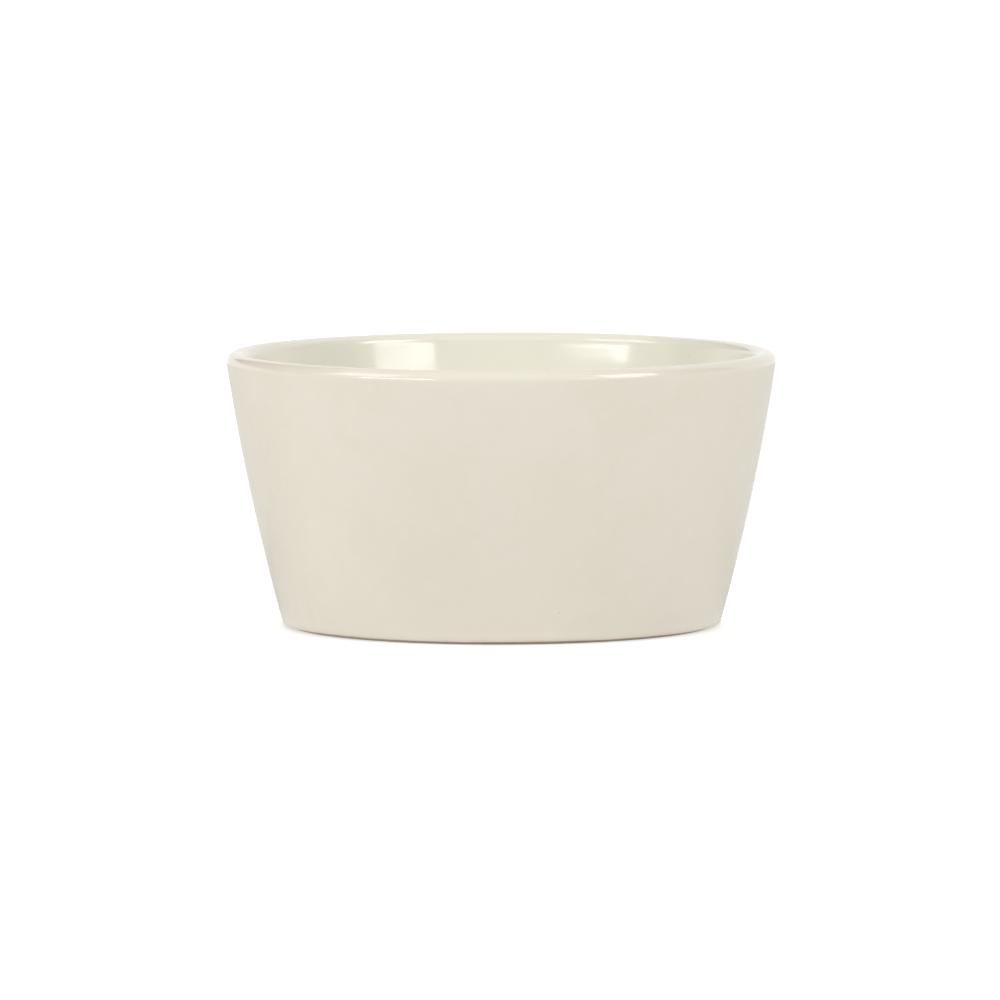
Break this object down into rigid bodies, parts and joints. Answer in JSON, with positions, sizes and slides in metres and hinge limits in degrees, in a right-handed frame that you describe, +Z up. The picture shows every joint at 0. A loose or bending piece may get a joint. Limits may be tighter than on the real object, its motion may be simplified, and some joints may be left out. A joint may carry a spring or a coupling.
{
  "type": "sauce bowl",
  "caption": "Small round open sauce bowl with a flat floor, tapering slightly bowed walls, a rounded lip, a glazed surface and a bare foot ring.",
  "frame": {"origin": "centre of the foot ring's underside, on the surface that the bowl stands on", "axes": "+Z up, along the bowl's turning axis and out of its mouth; X and Y are equal"},
  "size_m": [0.07, 0.07, 0.035],
  "materials": {
    "bare_clay": "matte",
    "ivory_glaze": "gloss"
  },
  "bodies": {
    "root": {"clay_body": "bare_clay", "glaze_coat": "ivory_glaze", "underside_glaze": "ivory_glaze"}
  },
  "joints": []
}
